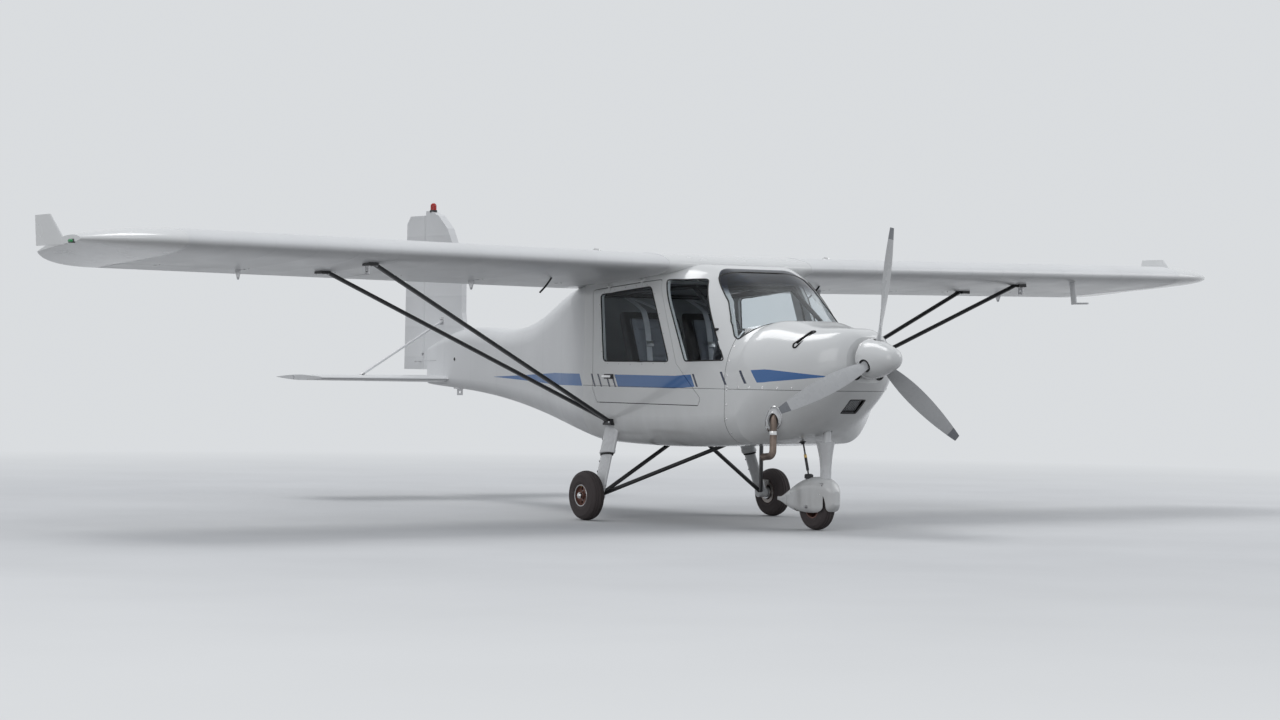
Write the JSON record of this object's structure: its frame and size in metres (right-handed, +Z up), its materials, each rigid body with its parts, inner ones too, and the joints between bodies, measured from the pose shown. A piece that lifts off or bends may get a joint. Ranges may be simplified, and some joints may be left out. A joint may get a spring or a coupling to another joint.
{
  "type": "two-seat high-wing microlight aircraft",
  "caption": "High-wing microlight aircraft with tricycle undercarriage, strut-braced wing, top-hinged doors, flaps, ailerons, elevator and rudder.",
  "frame": {"origin": "on the ground, midway between the wing tips and midway between the spinner's tip and the rudder's rear edge", "axes": "+X to the aircraft's left (port), -Y towards the nose, +Z up"},
  "size_m": [9.4482, 6.192, 2.32],
  "materials": {
    "white_fabric": "doped and painted fabric, satin",
    "white_shell": "gloss white moulded shell",
    "white_metal": "gloss white paint",
    "clear_glazing": "clear plastic glazing",
    "seat_cloth": "dark grey cloth over foam",
    "floor_sheet": "painted aluminium sheet",
    "panel_black": "matt black",
    "black_tube": "black powder coat",
    "engine_metal": "cast alloy",
    "engine_alloy": "bare alloy",
    "exhaust_steel": "heat-stained steel",
    "axle_steel": "plated steel",
    "tyre_rubber": "worn black rubber",
    "rim_alloy": "cast alloy",
    "pale_blade": "pale grey composite",
    "beacon_lens": "red lens"
  },
  "bodies": {
    "airframe": {"beacon": "beacon_lens", "cabin_floor": "floor_sheet", "cabin_frame": "black_tube", "cabin_shell": "white_shell", "control_stick": "black_tube", "engine_block": "engine_metal", "engine_mount": "engine_alloy", "exhaust_pipe": "exhaust_steel", "fin": "white_fabric", "instrument_panel": "panel_black", "leg_braces_front": "black_tube", "leg_braces_rear": "black_tube", "lower_cowl": "white_shell", "main_axles": "axle_steel", "main_leg_left": "white_metal", "main_leg_right": "white_metal", "pitot_mast": "white_metal", "quarter_windows": "clear_glazing", "rear_fuselage": "white_fabric", "seats": "seat_cloth", "tail_struts": "white_metal", "tail_tie_down": "axle_steel", "tailplane": "white_fabric", "upper_cowl": "white_shell", "windscreen": "clear_glazing", "wing_centre_fairing": "white_shell", "wing_left": "white_fabric", "wing_right": "white_fabric", "wing_struts_front": "black_tube", "wing_struts_rear": "black_tube", "wing_tie_downs": "axle_steel", "wing_tip_left": "white_shell", "wing_tip_right": "white_shell"},
    "propeller_and_spinner": {"propeller": "pale_blade", "spinner": "white_shell"},
    "left_main_wheel": {"main_tyre_left": "tyre_rubber", "main_wheel_left": "rim_alloy"},
    "right_main_wheel": {"main_tyre_right": "tyre_rubber", "main_wheel_right": "rim_alloy"},
    "nose_strut": {"nose_leg": "white_metal", "nose_axle": "axle_steel", "nose_spat": "white_shell"},
    "nose_wheel_body": {"nose_tyre": "tyre_rubber", "nose_wheel": "rim_alloy"},
    "left_door": {"door_left": "white_shell", "door_window_left": "clear_glazing"},
    "right_door": {"door_right": "white_shell", "door_window_right": "clear_glazing"},
    "left_flap": {"flap_left": "white_fabric"},
    "right_flap": {"flap_right": "white_fabric"},
    "left_aileron": {"aileron_left": "white_fabric"},
    "right_aileron": {"aileron_right": "white_fabric"},
    "elevator_body": {"elevator": "white_fabric"},
    "rudder_body": {"rudder": "white_fabric"}
  },
  "joints": [
    {"name": "propeller_turn", "type": "hinge", "parent": "airframe", "child": "propeller_and_spinner", "pos_m": [0, -2.895, 1.13], "axis": [0, 1, 0], "continuous": true},
    {"name": "left_wheel_roll", "type": "hinge", "parent": "airframe", "child": "left_main_wheel", "pos_m": [0.8, -0.76, 0.17], "axis": [1, 0, 0], "continuous": true},
    {"name": "right_wheel_roll", "type": "hinge", "parent": "airframe", "child": "right_main_wheel", "pos_m": [-0.8, -0.76, 0.17], "axis": [1, 0, 0], "continuous": true},
    {"name": "nose_steer", "type": "hinge", "parent": "airframe", "child": "nose_strut", "pos_m": [0, -2.388, 0.5], "axis": [0, 0, 1], "range_deg": [-25, 25]},
    {"name": "nose_wheel_roll", "type": "hinge", "parent": "nose_strut", "child": "nose_wheel_body", "pos_m": [0, -2.288, 0.155], "axis": [1, 0, 0], "continuous": true},
    {"name": "right_door_swing", "type": "hinge", "parent": "airframe", "child": "right_door", "pos_m": [-0.6095, -0.9125, 1.621], "axis": [0, 0.9967, -0.0813], "range_deg": [0, 80]},
    {"name": "left_door_swing", "type": "hinge", "parent": "airframe", "child": "left_door", "pos_m": [0.6095, -0.9125, 1.621], "axis": [0, -0.9967, 0.0813], "range_deg": [0, 80]},
    {"name": "left_flap_drop", "type": "hinge", "parent": "airframe", "child": "left_flap", "pos_m": [0.602, -0.4355, 1.6634], "axis": [-0.9999, 0, -0.0122], "range_deg": [0, 40]},
    {"name": "right_flap_drop", "type": "hinge", "parent": "airframe", "child": "right_flap", "pos_m": [-0.602, -0.4355, 1.6634], "axis": [-0.9999, 0, 0.0122], "range_deg": [0, 40]},
    {"name": "left_aileron_turn", "type": "hinge", "parent": "airframe", "child": "left_aileron", "pos_m": [0.602, -0.4355, 1.6634], "axis": [-0.9999, 0, -0.0122], "range_deg": [-20, 20]},
    {"name": "right_aileron_turn", "type": "hinge", "parent": "airframe", "child": "right_aileron", "pos_m": [-0.602, -0.4355, 1.6634], "axis": [-0.9999, 0, 0.0122], "range_deg": [-20, 20]},
    {"name": "elevator_turn", "type": "hinge", "parent": "airframe", "child": "elevator_body", "pos_m": [0, 2.7, 0.93], "axis": [1, 0, 0], "range_deg": [-25, 25]},
    {"name": "rudder_turn", "type": "hinge", "parent": "airframe", "child": "rudder_body", "pos_m": [0, 2.77, 1.6], "axis": [0, 0, 1], "range_deg": [-25, 25]}
  ],
  "couplings": [
    {"joint": "right_flap_drop", "follows": "left_flap_drop", "ratio": 1},
    {"joint": "right_aileron_turn", "follows": "left_aileron_turn", "ratio": -1}
  ]
}
